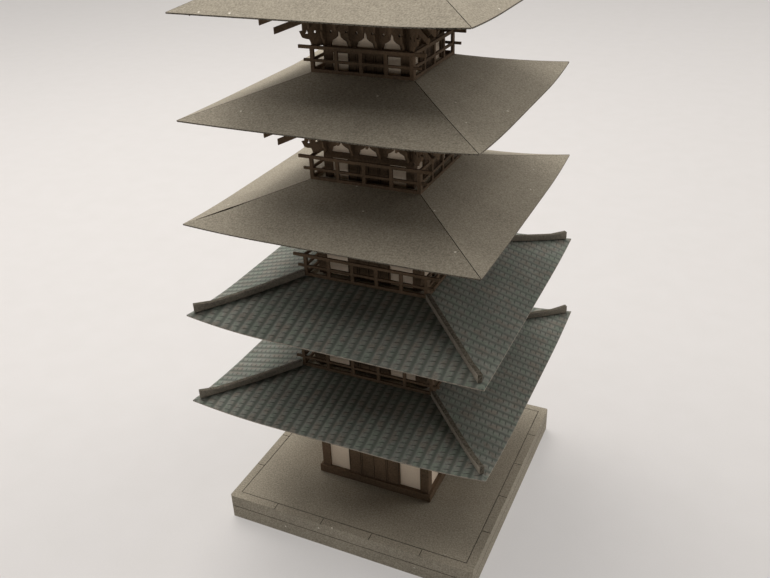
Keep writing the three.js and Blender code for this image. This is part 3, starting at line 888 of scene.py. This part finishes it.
for roof_number in (1, 2):
    for corner, sideways in HIP_SIDES.items():
        node_name = f"roof_{roof_number}_ridge_{corner}"
        strip = merged_copy(node_name)
        strip.normal_update()
        corners = [
            edge for edge in strip.edges
            if len(edge.link_faces) == 2 and edge.calc_face_angle(0) > SHARP_CORNER
        ]
        bmesh.ops.bevel(
            strip, geom=corners, offset=ROUNDED_CORNER, segments=2, profile=0.5,
            affect="EDGES", material=-1,
        )
        strip.normal_update()
        mark = strip.faces.layers.float[CUT_EDGE]
        for face in strip.faces:
            face[mark] = float(abs(face.normal.dot(sideways)) < SIDEWAYS)
        finished_piece(f"{node_name}_strip", strip, ridge_strip_card, [node_name])

# %% [markdown]
# ## Floor
# A pale table top under the model that curves up far away, so that no horizon shows. A flat
# plane would end in an edge behind the model. One profile line is spun all the way round,
# and the spin is closed with use_merge.

# %% Floor sweep
FLOOR_PROFILE = [(0, 0), (900, 0), (1150, 30), (1350, 120), (1450, 280)]
FLOOR_GLOW = 0.33  # light that the bright table top throws back


def spun_surface(name, profile, material):
    """An object made from a line of places, distance out and height, spun round the tower."""
    bm = bmesh.new()
    points = [bm.verts.new((x, 0, z)) for x, z in profile]
    line = [bm.edges.new(pair) for pair in zip(points, points[1:])]
    bmesh.ops.spin(
        bm, geom=[*points, *line], cent=(0, 0, 0), axis=(0, 0, 1), dvec=(0, 0, 0),
        angle=2 * math.pi, steps=96, use_merge=True, use_duplicate=False,
    )
    bmesh.ops.remove_doubles(bm, verts=bm.verts, dist=0.01)
    bmesh.ops.recalc_face_normals(bm, faces=bm.faces)
    bmesh.ops.scale(bm, vec=(MM, MM, MM), verts=bm.verts)
    mesh = bpy.data.meshes.new(name)
    bm.to_mesh(mesh)
    bm.free()
    mesh.polygons.foreach_set("use_smooth", [True] * len(mesh.polygons))
    mesh.materials.append(material)
    made = bpy.data.objects.new(name, mesh)
    bpy.context.scene.collection.objects.link(made)
    print(f"{name}: {len(mesh.polygons)} faces")
    return made


def pale_paper():
    material, tree, output = empty_material("pale_paper_floor")
    surface, _ = card_surface(tree, "#a6a4a3", "#a19f9d", "#a19f9d", roughness=0.9)
    surface.inputs["Emission Color"].default_value = linear("#fffbf8")
    surface.inputs["Emission Strength"].default_value = FLOOR_GLOW
    tree.links.new(surface.outputs["BSDF"], output.inputs["Surface"])
    return material


floor = spun_surface("floor", FLOOR_PROFILE, pale_paper())

# %% [markdown]
# ## Backdrop
# From a low place the eye meets the room above the rim of the table top, and the room is
# dark. A taller rim would throw more light on the model. So a plain dome in the tone of the
# rim goes on from there, and only the camera sees it: it gives no light and no shade.

# %% Backdrop dome
DOME_PROFILE = [(1450, 270), (1450, 1200), (1200, 2000), (700, 2500), (0, 2700)]
RIM_TONE = "#b5b2af"


def backdrop_paper():
    material, tree, output = empty_material("backdrop_paper")
    plain = add_node(tree, "ShaderNodeEmission", {"Color": linear(RIM_TONE), "Strength": 1.0})
    tree.links.new(plain.outputs["Emission"], output.inputs["Surface"])
    return material


dome = spun_surface("backdrop", DOME_PROFILE, backdrop_paper())
dome.visible_diffuse = dome.visible_glossy = dome.visible_transmission = False
dome.visible_volume_scatter = dome.visible_shadow = False

# %% [markdown]
# ## Light
# The picture has soft light from the left and from behind, a little less from the back right,
# and almost none from the camera's side: left slopes are brightest, fronts are dark, and
# each roof keeps the one below it in shade. The bright table top throws light up under the
# roofs, so the floor glows a little. Six square area lights give such soft shadows. Each
# was first rendered on its own, and their strengths were then fitted to the picture.

# %% Lights and sky
TOWER_MIDDLE = Vector((0, 0, 0.09))
WINDOW_COLOUR = linear("#fffaf5")
# Names, places and sizes in metres, and powers in watts
LIGHTS = (
    ("back_left", (-0.55, 0.75, 0.85), 0.9, 3.85),
    ("left_low", (-1.0, 0, 0.45), 0.8, 2.55),
    ("near_back_left", (-0.25, 0.25, 0.6), 0.4, 2.15),
    ("near_left", (-0.35, -0.05, 0.5), 0.4, 0.8),
    ("near_overhead", (0, 0, 0.6), 0.6, 1.3),
    ("back_right", (0.7, 0.7, 0.7), 0.8, 5.4),
)


def area_light(name, place, size, power):
    """A square light that looks at the middle of the tower."""
    data = bpy.data.lights.new(name, "AREA")
    data.size = size
    data.energy = power
    data.color = WINDOW_COLOUR[:3]
    light = bpy.data.objects.new(name, data)
    light.location = place
    aim = TOWER_MIDDLE - Vector(place)
    light.rotation_euler = aim.to_track_quat("-Z", "Y").to_euler()
    bpy.context.scene.collection.objects.link(light)


for light in LIGHTS:
    area_light(*light)
dark_room = bpy.data.worlds.new("dark_room")
bpy.context.scene.world = dark_room
dark_room.use_nodes = True
background = dark_room.node_tree.nodes["Background"]
background.inputs["Color"].default_value = linear("#fbf8f4")
background.inputs["Strength"].default_value = 0.01
bpy.context.scene.view_settings.view_transform = "Standard"
print(f"{len(LIGHTS)} lights, {sum(light[3] for light in LIGHTS):.2f} W in all")
